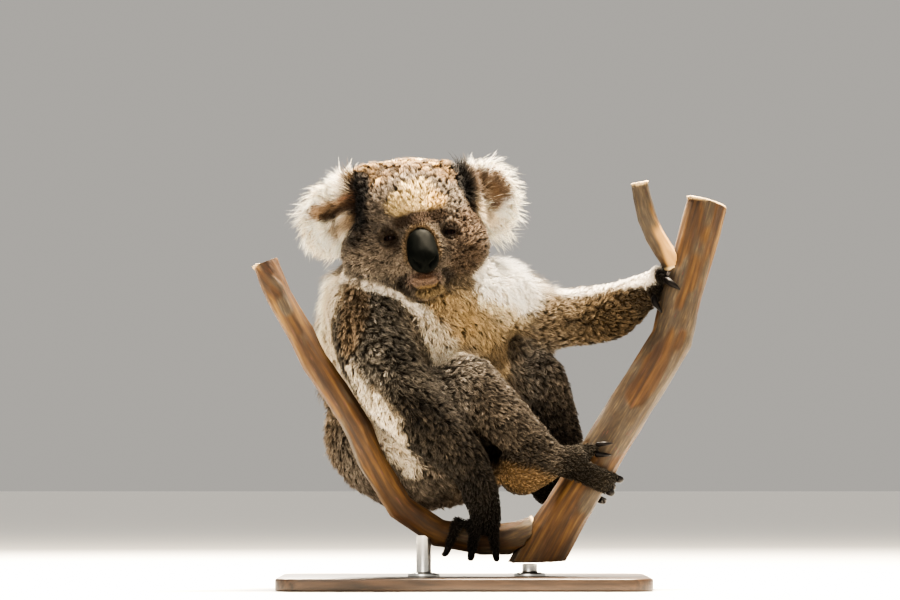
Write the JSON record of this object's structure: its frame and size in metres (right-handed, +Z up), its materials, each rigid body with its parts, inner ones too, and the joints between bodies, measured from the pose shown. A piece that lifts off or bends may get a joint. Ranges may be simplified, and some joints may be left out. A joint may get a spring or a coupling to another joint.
{
  "type": "koala",
  "caption": "Life-size koala sitting in the fork of a gum tree, with an arm round the thicker branch, on a low display stand.",
  "frame": {"origin": "on the floor, below the middle of the whole model's box", "axes": "+Z up, the koala's face looks towards -Y, its left hand reaches towards +X"},
  "size_m": [0.5164, 0.31, 0.471],
  "materials": {
    "grey_fur": "dense woolly grey-brown coat, white on the chest",
    "ear_fur": "long loose white fringe",
    "paw_fur": "short dark grey hair",
    "nose_leather": "bare pebbled black skin",
    "eye_gloss": "wet dark red-brown eye",
    "claw_horn": "polished black horn",
    "gum_bark": "smooth orange and grey gum bark with dark streaks",
    "stand_wood": "dark stained hardwood, satin",
    "stand_steel": "brushed steel rod"
  },
  "bodies": {
    "root": {"head": "grey_fur", "neck": "grey_fur", "chest": "grey_fur", "rump": "grey_fur", "upper_arm_right": "grey_fur", "forearm_right": "grey_fur", "upper_arm_left": "grey_fur", "forearm_left": "grey_fur", "thigh_right": "grey_fur", "shank_right": "grey_fur", "thigh_left": "grey_fur", "shank_left": "grey_fur", "ear_right": "ear_fur", "ear_left": "ear_fur", "hand_right": "paw_fur", "hand_left": "paw_fur", "foot_right": "paw_fur", "foot_left": "paw_fur", "nose": "nose_leather", "eye_right": "eye_gloss", "eye_left": "eye_gloss", "claw_hand_right_1": "claw_horn", "claw_hand_right_2": "claw_horn", "claw_hand_right_3": "claw_horn", "claw_hand_right_4": "claw_horn", "claw_hand_right_5": "claw_horn", "claw_hand_left_1": "claw_horn", "claw_hand_left_2": "claw_horn", "claw_hand_left_3": "claw_horn", "claw_hand_left_4": "claw_horn", "claw_hand_left_5": "claw_horn", "claw_foot_right_2": "claw_horn", "claw_foot_right_3": "claw_horn", "claw_foot_right_4": "claw_horn", "claw_foot_right_5": "claw_horn", "claw_foot_left_2": "claw_horn", "claw_foot_left_3": "claw_horn", "claw_foot_left_4": "claw_horn", "claw_foot_left_5": "claw_horn", "perch_trunk": "gum_bark", "perch_limb_low": "gum_bark", "perch_limb_high": "gum_bark", "perch_twig": "gum_bark", "stand_base": "stand_wood", "stand_rod_trunk": "stand_steel", "stand_rod_limb": "stand_steel"}
  },
  "joints": []
}
